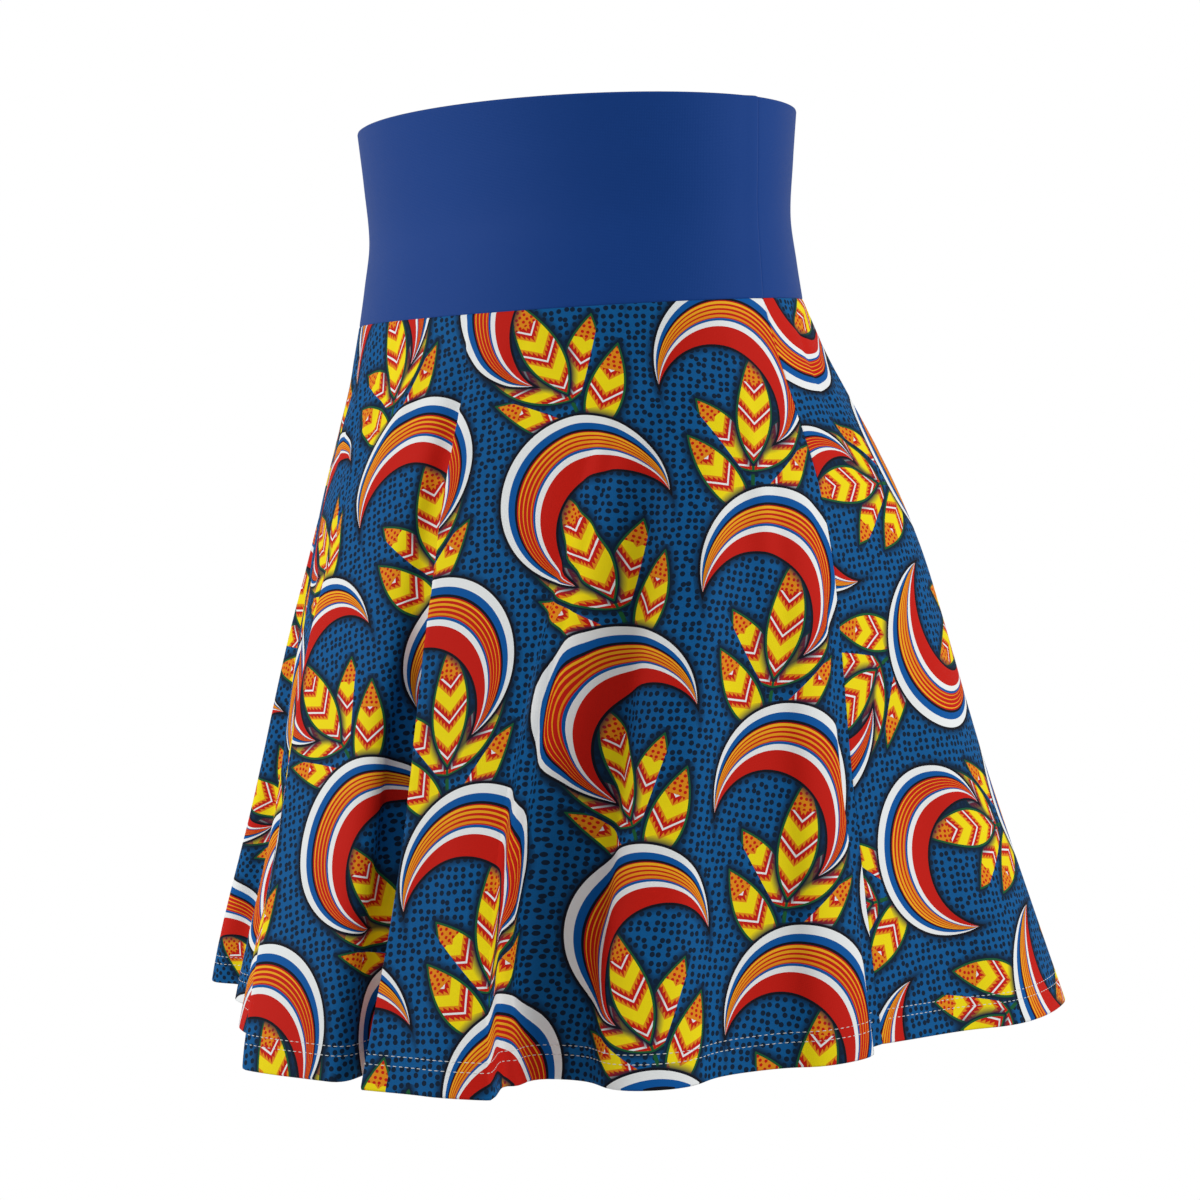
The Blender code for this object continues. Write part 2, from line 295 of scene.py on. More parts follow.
def band_ring(height):
    """Plan points of the smooth waistband ring at a height."""
    half_width = table_value(BAND_RINGS, "height", "half_width", height)
    half_depth = table_value(BAND_RINGS, "height", "half_depth", height)
    turn = np.linspace(-np.pi, np.pi, len(FOLDS) * POINTS_PER_FLANK + 1)
    return half_width * np.cos(turn), half_depth * np.sin(turn)


def spaced(plan_x, plan_y, seam_point, places, panel):
    """Steps along one panel's stretch of a ring, as shares of its points, and its length."""
    steps = np.hypot(np.diff(plan_x), np.diff(plan_y))
    length = np.append(0.0, np.cumsum(steps))
    ends = {"front": (0.0, length[seam_point]), "back": (length[seam_point], length[-1])}
    start, stop = ends[panel]
    wanted = start + SEAM_GAP / 2 + (stop - start - SEAM_GAP) * places
    return np.interp(wanted, length, np.arange(len(length))), stop - start


def at(values, shares):
    """Values of a ring at in-between points."""
    return np.interp(shares, np.arange(len(values)), values)


# ---- panels -------------------------------------------------------------------------------

# A grid of cloth: its outer points, the places of its rows and columns as shares, the
# distance of each point down the cloth, and the length of each row's stretch of ring.
Grid = namedtuple("Grid", "points columns rows down widths")


def skirt_grid(panel):
    """Outer points of a skirt panel, rows from the joining seam to the hem."""
    columns = edge_spaced(PANEL_WIDTH, SKIRT_COLUMNS) / PANEL_WIDTH
    rows = edge_spaced(SIDE_LENGTH, SKIRT_ROWS) / SIDE_LENGTH
    points = np.zeros((len(rows), len(columns), 3))
    widths = np.zeros(len(rows))
    seam_point = LEFT_SEAM_FOLD * POINTS_PER_FLANK
    drop = FRONT_DROP if panel == "front" else BACK_DROP
    lengths = SIDE_LENGTH + drop * np.sin(np.pi * columns)
    plain_before = None
    for row, share in enumerate(rows):
        plan_x, plan_y, turn, plain = skirt_ring(share)
        shares, widths[row] = spaced(plan_x, plan_y, seam_point, columns, panel)
        points[row, :, 0] = at(plan_x, shares)
        points[row, :, 1] = at(plan_y, shares)
        if row == 0:
            points[row, :, 2] = SEAM_HEIGHT - SEAM_GAP + SEAM_TILT * points[row, :, 1]
        else:
            direction = at(turn, shares)
            wider = (plain[0] - plain_before[0]) * np.cos(direction)
            deeper = (plain[1] - plain_before[1]) * np.sin(direction)
            flare = np.hypot(wider, deeper + plain[2] - plain_before[2])
            step = lengths * (share - rows[row - 1])
            points[row, :, 2] = points[row - 1, :, 2] - np.sqrt(step ** 2 - flare ** 2)
        plain_before = plain
    return Grid(points, columns, rows, rows[:, None] * lengths[None, :], widths)


def band_grid(panel):
    """Outer points of a waistband half, rows from the rim down."""
    columns = edge_spaced(BAND_WIDTH[panel], BAND_COLUMNS) / BAND_WIDTH[panel]
    rows = edge_spaced(BAND_DEPTH, BAND_ROWS) / BAND_DEPTH
    points = np.zeros((len(rows), len(columns), 3))
    widths = np.zeros(len(rows))
    seam_point = round(len(FOLDS) * POINTS_PER_FLANK * (180 + BAND_SEAM_TURN) / 360)
    for row, share in enumerate(rows):
        height = RIM_HEIGHT + (SEAM_HEIGHT - RIM_HEIGHT) * share
        tilt = RIM_TILT + (SEAM_TILT - RIM_TILT) * share
        plan_x, plan_y = band_ring(height)
        shares, widths[row] = spaced(plan_x, plan_y, seam_point, columns, panel)
        points[row, :, 0] = at(plan_x, shares)
        points[row, :, 1] = at(plan_y, shares)
        points[row, :, 2] = height + tilt * points[row, :, 1]
    down = rows[:, None] * np.full(len(columns), BAND_DEPTH)[None, :]
    return Grid(points, columns, rows, down, widths)


def outward(points):
    """Unit normals of a grid, away from the wearer."""
    down = np.gradient(points, axis=0)
    across = np.gradient(points, axis=1)
    normal = np.cross(down, across)
    return normal / np.linalg.norm(normal, axis=2, keepdims=True)


def turn_in(distance):
    """How deep the cloth turns in at a distance from a seam's edge: a quarter oval."""
    near = np.clip(1 - distance / SEAM_REACH, 0, 1)
    return SEAM_SINK * (1 - np.sqrt(1 - near ** 2))


def from_side_seam(grid):
    """Distance of each point of a grid from the nearer side seam."""
    return np.minimum(grid.columns, 1 - grid.columns)[None, :] * grid.widths[:, None]


def allowance_lift(distance):
    """How far a seam allowance raises the cloth over it, at a distance from the seam."""
    raised = 1 - step_up(distance, ALLOWANCE_TOP, ALLOWANCE_WIDTH)
    return ALLOWANCE_LIFT * (raised - turn_in(distance) / SEAM_SINK)


def crease_relief(grid, panel):
    """Height of a panel's soft creases at each point of its grid."""
    relief = np.zeros(grid.points.shape[:2])
    share = grid.rows[:, None]
    for crease in CREASES:
        if crease.panel != panel:
            continue
        along = np.clip((share - crease.start) / (crease.end - crease.start), 0, 1)
        middle = crease.upper + (crease.lower - crease.upper) * along
        aside = (grid.columns[None, :] - middle) * grid.widths[:, None]
        spread = crease.width * (CREASE_TOP + CREASE_WIDENING * along)
        fade = np.sin(np.pi * along) ** CREASE_FADE
        relief += crease.out * fade * np.exp(-(aside / spread) ** 2)
    return relief


# ---- cloth walls --------------------------------------------------------------------------

def border(rows, columns):
    """Row and column of each point round a grid's edge, in order, and its side of the grid."""
    top = [(0, column, "top") for column in range(columns - 1)]
    right = [(row, columns - 1, "side") for row in range(rows - 1)]
    bottom = [(rows - 1, column, "bottom") for column in range(columns - 1, 0, -1)]
    left = [(row, 0, "side") for row in range(rows - 1, 0, -1)]
    return top + right + bottom + left


def cloth_wall(name, outer, inner, uv, rounded, materials):
    """A closed wall of cloth. Edges named in "rounded" are folds; the others meet a seam."""
    rows, columns = outer.shape[:2]
    count = rows * columns
    index = np.arange(count).reshape(rows, columns)
    corners = np.stack([index[:-1, :-1], index[1:, :-1], index[1:, 1:], index[:-1, 1:]], -1)
    outer_faces = corners.reshape(-1, 4)
    inner_faces = outer_faces[:, ::-1] + count
    ring = border(rows, columns)
    first = 2 * count
    edge_points = []
    edge_uv = []
    for row, column, side in ring:
        near_row = min(max(row, 1), rows - 2)
        middle = (outer[row, column] + inner[row, column]) / 2
        half = (outer[row, column] - inner[row, column]) / 2
        away = outer[row, column] - outer[near_row, column]
        reach = np.linalg.norm(half) if side in rounded else 0.0
        away = away / max(np.linalg.norm(away), 1e-9) * reach
        for turn in range(1, EDGE_TURNS + 1):
            angle = math.pi * turn / (EDGE_TURNS + 1)
            edge_points.append(middle + half * math.cos(angle) + away * math.sin(angle))
            edge_uv.append(uv[row, column])
    edge_faces = []
    for place, (row, column, side) in enumerate(ring):
        after = (place + 1) % len(ring)
        here = [index[row, column]]
        there = [index[ring[after][0], ring[after][1]]]
        for turn in range(EDGE_TURNS):
            here.append(first + place * EDGE_TURNS + turn)
            there.append(first + after * EDGE_TURNS + turn)
        here.append(index[row, column] + count)
        there.append(index[ring[after][0], ring[after][1]] + count)
        for turn in range(EDGE_TURNS + 1):
            edge_faces.append((here[turn], there[turn], there[turn + 1], here[turn + 1]))
    points = np.concatenate([outer.reshape(-1, 3), inner.reshape(-1, 3), edge_points])
    faces = np.concatenate([outer_faces, inner_faces, edge_faces])
    vertex_uv = np.concatenate([uv.reshape(-1, 2), uv.reshape(-1, 2), edge_uv])
    mesh = bpy.data.meshes.new(name)
    mesh.from_pydata(points.tolist(), [], faces.tolist())
    layer = mesh.uv_layers.new(name="cut")
    layer.data.foreach_set("uv", vertex_uv[faces.reshape(-1)].astype(np.float32).reshape(-1))
    for material in materials:
        mesh.materials.append(material)
    slots = np.zeros(len(faces), dtype=np.int32)
    slots[len(outer_faces):len(outer_faces) + len(inner_faces)] = len(materials) - 1
    mesh.polygons.foreach_set("material_index", slots)
    mesh.shade_smooth()
    mesh.set_sharp_from_angle(angle=SHARP_ANGLE)
    mesh.update()
    piece = bpy.data.objects.new(name, mesh)
    bpy.context.scene.collection.objects.link(piece)
    return piece


def cut_places(grid, panel):
    """Where each point of a skirt panel lies on the flat cloth, in the print's direction."""
    radius = INNER_RADIUS + grid.down
    angle = (grid.columns[None, :] - 0.5) * PANEL_ANGLE + PRINT_TURN[panel]
    return np.stack([radius * np.sin(angle), -radius * np.cos(angle)], -1)


def skirt_surface(panel):
    """Grid, outer points and normals of a skirt panel with its creases and turned edges."""
    grid = skirt_grid(panel)
    normal = outward(grid.points)
    relief = crease_relief(grid, panel)
    seam = np.maximum(turn_in(from_side_seam(grid)), turn_in(grid.down))
    points = grid.points + normal * (relief - seam)[..., None]
    return grid, points, normal


def skirt_piece(panel, materials):
    """One flared panel of printed knit."""
    grid, points, normal = skirt_surface(panel)
    above_hem = grid.down[-1][None, :] - grid.down
    doubled = 1 - step_up(above_hem, HEM_DEPTH - HEM_STEP, HEM_DEPTH + HEM_STEP)
    thickness = SKIRT_THICKNESS + (HEM_THICKNESS - SKIRT_THICKNESS) * doubled
    inner = points - normal * thickness[..., None]
    uv = cut_places(grid, panel)
    return cloth_wall("printed_skirt_" + panel, points, inner, uv, ["bottom"], materials)


def band_piece(panel, material):
    """One half of the high waistband."""
    grid = band_grid(panel)
    normal = outward(grid.points)
    from_side = from_side_seam(grid)
    lift = allowance_lift(from_side) if panel == "front" else np.zeros_like(from_side)
    turn = np.maximum(turn_in(from_side), turn_in(grid.down[-1][None, :] - grid.down))
    points = grid.points + normal * (lift - turn)[..., None]
    inner = grid.points - normal * (BAND_THICKNESS + turn)[..., None]
    across = (grid.columns[None, :] - 0.5) * BAND_WIDTH[panel] + np.zeros_like(grid.down)
    uv = np.stack([across, -grid.down], -1)
    return cloth_wall("plain_waistband_" + panel, points, inner, uv, ["top"], [material])


# ---- material sums ------------------------------------------------------------------------

class Field:
    """A number that varies over the cloth: an output of one of the material's nodes."""

    def __init__(self, tree, socket):
        self.tree = tree
        self.socket = socket

    def work(self, operation, *others):
        node = self.tree.nodes.new("ShaderNodeMath")
        node.operation = operation
        for place, value in enumerate((self,) + others):
            if isinstance(value, Field):
                self.tree.links.new(value.socket, node.inputs[place])
            else:
                node.inputs[place].default_value = value
        return Field(self.tree, node.outputs[0])

    def __add__(self, other):
        return self.work("ADD", other)

    def __sub__(self, other):
        return self.work("SUBTRACT", other)

    def __mul__(self, other):
        return self.work("MULTIPLY", other)

    def __truediv__(self, other):
        return self.work("DIVIDE", other)

    def __lt__(self, other):
        return self.work("LESS_THAN", other)

    def __gt__(self, other):
        return self.work("GREATER_THAN", other)

    def size(self):
        return self.work("ABSOLUTE")

    def floor(self):
        return self.work("FLOOR")

    def sine(self):
        return self.work("SINE")

    def power(self, exponent):
        return self.work("POWER", exponent)

    def at_least(self, other):
        return self.work("MAXIMUM", other)

    def at_most(self, other):
        return self.work("MINIMUM", other)


def length_of(across, up):
    """Distance from the middle."""
    return (across * across + up * up).power(0.5)


def turned(across, up, degrees):
    """The same place on axes turned by an angle."""
    cosine = math.cos(math.radians(degrees))
    sine = math.sin(math.radians(degrees))
    return across * cosine + up * sine, up * cosine - across * sine


def wrapped(value, period):
    """Distance from the nearest multiple of a period."""
    return value - (value / period + 0.5).floor() * period


def half_drop(across, up, width, height):
    """Place within one repeat of a half-drop layout, where every other column is mirrored."""
    column = (across / width + 0.5).floor()
    odd = column - (column / 2).floor() * 2
    local_across = (across - column * width) * (odd * -2 + 1)
    return local_across, wrapped(up + odd * (height / 2), height)


def cloth_places(tree):
    """Place on the flat cloth in millimetres, across and up."""
    source = tree.nodes.new("ShaderNodeUVMap")
    source.uv_map = "cut"
    split = tree.nodes.new("ShaderNodeSeparateXYZ")
    tree.links.new(source.outputs["UV"], split.inputs[0])
    return Field(tree, split.outputs["X"]) * 1000, Field(tree, split.outputs["Y"]) * 1000


def dots(across, up, spacing, jitter):
    """Distance to the nearest of a scatter of dots, in millimetres."""
    tree = across.tree
    place = tree.nodes.new("ShaderNodeCombineXYZ")
    tree.links.new(across.socket, place.inputs["X"])
    tree.links.new(up.socket, place.inputs["Y"])
    cells = tree.nodes.new("ShaderNodeTexVoronoi")
    cells.voronoi_dimensions = "2D"
    cells.inputs["Scale"].default_value = 1 / spacing
    cells.inputs["Randomness"].default_value = jitter
    tree.links.new(place.outputs[0], cells.inputs["Vector"])
    return Field(tree, cells.outputs["Distance"]) * spacing


# ---- printed cloth ------------------------------------------------------------------------

def linear(red, green, blue):
    """A display colour of 0 to 255 as a scene colour."""
    def channel(value):
        share = value / 255
        if share <= 0.04045:
            return share / 12.92
        return ((share + 0.055) / 1.055) ** 2.4
    return (channel(red), channel(green), channel(blue), 1.0)


GROUND_BLUE = linear(16, 90, 149)
NAVY = linear(16, 36, 58)
BRIGHT_BLUE = linear(12, 88, 162)
WHITE = linear(240, 243, 243)
BLACK = linear(20, 22, 32)
ORANGE = linear(232, 142, 26)
GOLD = linear(248, 184, 36)
RED = linear(200, 30, 20)
YELLOW = linear(246, 224, 20)
GREEN = linear(30, 92, 52)
WRONG_SIDE_WHITE = linear(233, 234, 236)
PRINT_THROUGH = 0.16  # share of the print's colours that shows on the wrong side
BAND_BLUES = [linear(18, 62, 135), linear(22, 66, 140)]  # the waistband's tones
TONE_SCALE = 9.0  # how often they change, for each metre
THREAD_WHITE = linear(222, 222, 218)

SKIRT_WALE = 0.9  # width of a column of knit stitches, in millimetres
SKIRT_COURSE = 0.75  # and height of a row
BAND_WALE = 0.85
BAND_COURSE = 0.7
KNIT_DEPTH = 0.00008  # in metres
KNIT_STRENGTH = 0.6
SHEEN_ROUGHNESS = 0.45

REPEAT_WIDTH = 92.0  # of the print, in millimetres like all the sizes below
REPEAT_HEIGHT = 106.0
REPEAT_TILT = 14  # degrees
DOT_SPACING = 3.8
DOT_RADIUS = 1.25
DOT_SCATTER = 0.42
SHADE_REACH = 4.2  # over which the dark ground round a motif fades out
SHADE_START = 1.2  # in reaches from the motif, where the ground starts to darken

MOON_LIFT = 9.0  # middle of a moon above the middle of its repeat
MOON_TILT = -34
MOON_RADIUS = 42.5  # outer circle of a moon
MOON_HOLLOW = 32.5  # inner circle
MOON_SHIFT = 25.0  # from one circle's middle to the other's
MOON_OUTLINE = 1.2
# Colours of a moon from its outer edge at 0 to its inner edge at 1.
Band = namedtuple("Band", "start colour")
MOON_BANDS = [
    Band(0.00, WHITE),
    Band(0.13, BRIGHT_BLUE),
    Band(0.24, BLACK),
    Band(0.28, ORANGE),
    Band(0.56, BRIGHT_BLUE),
    Band(0.60, WHITE),
    Band(0.69, RED),
]
PINSTRIPED = 0.28  # start of the band with red lines
PINSTRIPE_STEP = 0.07
PINSTRIPE_WIDTH = 0.020  # half width in the middle of a moon
PINSTRIPE_SWELL = 0.00026  # more for each millimetre to the right
PINSTRIPE_LEAST = 0.014
GOLD_END = 0.525  # where the gold glow of that band has faded to orange
GOLD_FADE = 4

SPRIG_DROP = 26.0  # middle of a sprig below the middle of its repeat
SPRIG_TILT = -8
SPRIG_FOOT = -44.0
STEM_WIDTH = 1.0  # half width
STEM_MIDDLE = 14.0  # above the foot
STEM_REACH = 26.0  # from its middle to its ends
STEM_SWAY = 4.0  # how far the stem winds to each side
STEM_WIND = 26.0  # length of the stem for one radian of its winding
LEAF_LENGTH = 54.0
LEAF_SHORTENING = 0.1  # how much shorter a pair is than the pair below
LEAF_WIDTH = 9.4  # half width at its widest
LEAF_LEAN = 40  # degrees from the stem
LEAF_STEP = 23.0  # along the stem, from a leaf to the next on the same side
LEAF_PAIRS = 1  # above the lowest pair
TOP_LEAF_FOOT = 4.0  # above the last pair
TOP_LEAF_LENGTH = 60.0
TOP_LEAF_WIDTH = 10.5
LEAF_BELLY = 1.12  # share of its width near its foot
LEAF_TAPER = 0.35  # how much less of it is left at its tip
LEAF_BORDER = 0.9  # width of its green edge
LEAF_BLEED = 0.2  # how far the green runs over
CHEVRON_STEP = 17.0
CHEVRON_START = 4.0  # middle of the lowest chevron above the foot
CHEVRON_ORANGE = 5.0  # half heights of the colours of a chevron
CHEVRON_RED = 4.4
CHEVRON_WHITE = 0.65
FRINGE_STEP = 1.9  # between the fringes of the red
FRINGE_SLOPE = 2.4
TIP_START = 0.72  # share of the length where the spotted tip begins
LEAF_SHADE = (-0.02, 1.05)  # shares of the length between which a leaf darkens the ground
SPOT_SPACING = 2.7
SPOT_RADIUS = 0.8
SPOT_SCATTER = 0.3


class Print:
    """Colours laid one over another, each where its mask is 1."""

    def __init__(self, tree, ground):
        self.tree = tree
        self.paint = ground

    def lay(self, colour, mask):
        node = self.tree.nodes.new("ShaderNodeMix")
        node.data_type = "RGBA"
        self.tree.links.new(mask.socket, node.inputs[0])
        if isinstance(self.paint, tuple):
            node.inputs[6].default_value = self.paint
        else:
            self.tree.links.new(self.paint, node.inputs[6])
        node.inputs[7].default_value = colour
        self.paint = node.outputs[2]


def shade(edge):
    """Strength of the dark ground round a motif, from the distance inside its edge."""
    return (edge / SHADE_REACH + SHADE_START).at_least(0).at_most(1)


def moon(cloth, across, up):
    """A tilted moon whose coloured bands taper to its horns."""
    outer = length_of(across, up) * -1 + MOON_RADIUS
    inner = length_of(across, up + MOON_SHIFT) - MOON_HOLLOW
    share = outer / (outer + inner)
    edge = outer.at_most(inner)
    cloth.lay(NAVY, shade(edge))
    cloth.lay(BLACK, edge > -MOON_OUTLINE)
    inside = edge > 0
    for band in MOON_BANDS:
        cloth.lay(band.colour, inside * (share > band.start))
        if band.start == PINSTRIPED:
            glow = ((share - GOLD_END) * -GOLD_FADE).at_least(0).at_most(1)
            cloth.lay(GOLD, inside * (share > PINSTRIPED) * glow)
            stripe = wrapped(share - PINSTRIPED, PINSTRIPE_STEP).size()
            half_width = (across * PINSTRIPE_SWELL + PINSTRIPE_WIDTH).at_least(PINSTRIPE_LEAST)
            cloth.lay(RED, inside * (share > PINSTRIPED) * (stripe - half_width < 0))


def leaf(cloth, along, aside, length, width):
    """A pointed yellow leaf with fringed red chevrons, a spotted tip and a green edge."""
    share = along / length
    middle = share * 2 - 1
    out = aside.size()
    edge = (middle * middle * -1 + 1) * (share * -LEAF_TAPER + LEAF_BELLY) * width - out
    there = (share > 0) * (share < 1)
    cloth.lay(NAVY, shade(edge) * (share > LEAF_SHADE[0]) * (share < LEAF_SHADE[1]))
    cloth.lay(GREEN, there * (edge > -LEAF_BLEED))
    body = there * (edge > LEAF_BORDER)
    cloth.lay(YELLOW, body)
    chevron = wrapped(along - out - CHEVRON_START, CHEVRON_STEP).size()
    fringe = wrapped(aside, FRINGE_STEP).size() * FRINGE_SLOPE
    cloth.lay(ORANGE, body * (chevron < CHEVRON_ORANGE))
    cloth.lay(RED, body * (chevron + fringe < CHEVRON_RED))
    cloth.lay(WHITE, body * (chevron < CHEVRON_WHITE))
    tip = body * (share > TIP_START)
    cloth.lay(ORANGE, tip)
    cloth.lay(RED, tip * (dots(along, aside, SPOT_SPACING, SPOT_SCATTER) < SPOT_RADIUS))


def sprig(cloth, across, up):
    """A stem with leaves on both sides in turn and one at its top."""
    aside = across - (up / STEM_WIND).sine() * STEM_SWAY
    side = (aside > 0) * 2 - 1
    out = aside.size()
    lean = math.radians(LEAF_LEAN)
    foot = up - SPRIG_FOOT - out / math.tan(lean) + side * (LEAF_STEP / 4)
    pair = (foot / LEAF_STEP + 0.5).floor().at_least(0).at_most(LEAF_PAIRS)
    climb = foot - pair * LEAF_STEP + out / math.tan(lean) - side * (LEAF_STEP / 4)
    along = out * math.sin(lean) + climb * math.cos(lean)
    beside = out * math.cos(lean) - climb * math.sin(lean)
    from_middle = (up - SPRIG_FOOT - STEM_MIDDLE).size()
    cloth.lay(GREEN, (out < STEM_WIDTH) * (from_middle < STEM_REACH))
    length = pair * (-LEAF_SHORTENING * LEAF_LENGTH) + LEAF_LENGTH
    leaf(cloth, along, beside, length, LEAF_WIDTH)
    above_pairs = up - SPRIG_FOOT - LEAF_PAIRS * LEAF_STEP - TOP_LEAF_FOOT
    leaf(cloth, above_pairs, aside, TOP_LEAF_LENGTH, TOP_LEAF_WIDTH)


def fabric_print(tree, across, up):
    """The whole print: dotted blue ground, leafy sprigs and banded moons."""
    cloth = Print(tree, GROUND_BLUE)
    cloth.lay(NAVY, dots(across, up, DOT_SPACING, DOT_SCATTER) < DOT_RADIUS)
    across, up = turned(across, up, REPEAT_TILT)
    sprig_across, sprig_up = half_drop(across, up + SPRIG_DROP, REPEAT_WIDTH, REPEAT_HEIGHT)
    sprig(cloth, *turned(sprig_across, sprig_up, SPRIG_TILT))
    moon_across, moon_up = half_drop(across, up, REPEAT_WIDTH, REPEAT_HEIGHT)
    moon(cloth, *turned(moon_across, moon_up - MOON_LIFT, MOON_TILT))
    return cloth.paint


def knit_relief(across, up, wale, course):
    """Height of a plain knit: columns of small V stitches."""
    beside = wrapped(across, wale).size() / (wale / 2)
    leg = ((up / course + beside * 0.5) * (2 * math.pi)).sine() * 0.5 + 0.5
    return leg * (beside.power(4) * -1 + 1)


def cloth_material(name, roughness, shine, sheen):
    """A new material and its tree and surface shader."""
    material = bpy.data.materials.new(name)
    material.use_nodes = True
    tree = material.node_tree
    surface = tree.nodes["Principled BSDF"]
    surface.inputs["Roughness"].default_value = roughness
    surface.inputs["Specular IOR Level"].default_value = shine
    surface.inputs["Sheen Weight"].default_value = sheen
    surface.inputs["Sheen Roughness"].default_value = SHEEN_ROUGHNESS
    return material, tree, surface


def raise_relief(tree, surface, height):
    """Bump of the knit from a height of 0 to 1."""
    bump = tree.nodes.new("ShaderNodeBump")
    bump.inputs["Distance"].default_value = KNIT_DEPTH
    bump.inputs["Strength"].default_value = KNIT_STRENGTH
    tree.links.new(height.socket, bump.inputs["Height"])
    tree.links.new(bump.outputs["Normal"], surface.inputs["Normal"])


def printed_knit():
    """The right side of the printed single knit."""
    material, tree, surface = cloth_material("printed_knit_face", 0.6, 0.05, 0.0)
    across, up = cloth_places(tree)
    tree.links.new(fabric_print(tree, across, up), surface.inputs["Base Color"])
    raise_relief(tree, surface, knit_relief(across, up, SKIRT_WALE, SKIRT_COURSE))
    return material


def printed_knit_back():
    """The wrong side: unprinted white with a trace of the colours."""
    material, tree, surface = cloth_material("printed_knit_wrong_side", 0.75, 0.05, 0.0)
    across, up = cloth_places(tree)
    pale = tree.nodes.new("ShaderNodeMix")
    pale.data_type = "RGBA"
    pale.inputs[0].default_value = PRINT_THROUGH
    pale.inputs[6].default_value = WRONG_SIDE_WHITE
    tree.links.new(fabric_print(tree, across, up), pale.inputs[7])
    tree.links.new(pale.outputs[2], surface.inputs["Base Color"])
    raise_relief(tree, surface, knit_relief(up, across, SKIRT_COURSE, SKIRT_WALE))
    return material


def band_knit():
    """Plain blue double knit."""
    material, tree, surface = cloth_material("waistband_blue_knit", 0.55, 0.06, 0.12)
    across, up = cloth_places(tree)
    tone = tree.nodes.new("ShaderNodeTexNoise")
    tone.inputs["Scale"].default_value = TONE_SCALE
    place = tree.nodes.new("ShaderNodeTexCoord")
    tree.links.new(place.outputs["Object"], tone.inputs["Vector"])
    blue = tree.nodes.new("ShaderNodeMix")
    blue.data_type = "RGBA"
    blue.inputs[6].default_value = BAND_BLUES[0]
    blue.inputs[7].default_value = BAND_BLUES[1]
    tree.links.new(tone.outputs[0], blue.inputs[0])
    tree.links.new(blue.outputs[2], surface.inputs["Base Color"])
    raise_relief(tree, surface, knit_relief(across, up, BAND_WALE, BAND_COURSE))
    return material


def sewing_thread():
    """White polyester thread."""
    material, tree, surface = cloth_material("hem_sewing_thread", 0.5, 0.3, 0.0)
    surface.inputs["Base Color"].default_value = THREAD_WHITE
    return material


# ---- hem stitching ------------------------------------------------------------------------

def hem_line(grid, points, normal, above):
    """Points and normals of a line over a panel at a height above its hem."""
    line = []
    facing = []
    for column in range(len(grid.columns)):
        place = grid.down[-1, column] - above
        down = grid.down[:, column]
        line.append([np.interp(place, down, points[:, column, axis]) for axis in range(3)])
        facing.append([np.interp(place, down, normal[:, column, axis]) for axis in range(3)])
    return line, facing


def stitch_tree():
    """Geometry nodes that sew one stitch after another along a line."""
    tree = bpy.data.node_groups.new("running_stitches", "GeometryNodeTree")
    sockets = tree.interface
    sockets.new_socket("Geometry", in_out="INPUT", socket_type="NodeSocketGeometry")
    for name in ("Stitch pitch", "Stitch length", "Thread radius"):
        sockets.new_socket(name, in_out="INPUT", socket_type="NodeSocketFloat")
    sockets.new_socket("Thread", in_out="INPUT", socket_type="NodeSocketMaterial")
    sockets.new_socket("Geometry", in_out="OUTPUT", socket_type="NodeSocketGeometry")
    new = tree.nodes.new
    link = tree.links.new
    inputs = new("NodeGroupInput")
    curve = new("GeometryNodeMeshToCurve")
    link(inputs.outputs["Geometry"], curve.inputs["Mesh"])
    evenly = new("GeometryNodeResampleCurve")
    evenly.mode = "LENGTH"
    link(curve.outputs["Curve"], evenly.inputs["Curve"])
    link(inputs.outputs["Stitch pitch"], evenly.inputs["Length"])
    facing = new("GeometryNodeInputNamedAttribute")
    facing.data_type = "FLOAT_VECTOR"
    facing.inputs["Name"].default_value = "facing"
    upright = new("FunctionNodeAlignRotationToVector")
    upright.axis = "Z"
    link(facing.outputs["Attribute"], upright.inputs["Vector"])
    heading = new("FunctionNodeAlignRotationToVector")
    heading.axis = "X"
    heading.pivot_axis = "Z"
    tangent = new("GeometryNodeInputTangent")
    link(tangent.outputs["Tangent"], heading.inputs["Vector"])
    link(upright.outputs["Rotation"], heading.inputs["Rotation"])
    bead = new("GeometryNodeMeshUVSphere")
    bead.inputs["Segments"].default_value = BEAD_SIDES
    bead.inputs["Rings"].default_value = BEAD_RINGS
    bead.inputs["Radius"].default_value = 1.0
    half = new("ShaderNodeMath")
    half.operation = "MULTIPLY"
    half.inputs[1].default_value = 0.5
    link(inputs.outputs["Stitch length"], half.inputs[0])
    proportions = new("ShaderNodeCombineXYZ")
    link(half.outputs[0], proportions.inputs["X"])
    link(inputs.outputs["Thread radius"], proportions.inputs["Y"])
    link(inputs.outputs["Thread radius"], proportions.inputs["Z"])
    sew = new("GeometryNodeInstanceOnPoints")
    link(evenly.outputs["Curve"], sew.inputs["Points"])
    link(bead.outputs["Mesh"], sew.inputs["Instance"])
    link(heading.outputs["Rotation"], sew.inputs["Rotation"])
    link(proportions.outputs[0], sew.inputs["Scale"])
    smooth = new("GeometryNodeSetShadeSmooth")
    link(sew.outputs["Instances"], smooth.inputs["Geometry"])
    real = new("GeometryNodeRealizeInstances")
    link(smooth.outputs["Geometry"], real.inputs["Geometry"])
    finish = new("GeometryNodeSetMaterial")
    link(real.outputs["Geometry"], finish.inputs["Geometry"])
    link(inputs.outputs["Thread"], finish.inputs["Material"])
    result = new("NodeGroupOutput")
    link(finish.outputs["Geometry"], result.inputs["Geometry"])
    return tree


def set_input(modifier, name, value):
    """Sets a named input of a geometry nodes modifier."""
    for item in modifier.node_group.interface.items_tree:
        if item.item_type == "SOCKET" and item.in_out == "INPUT" and item.name == name:
            modifier[item.identifier] = value


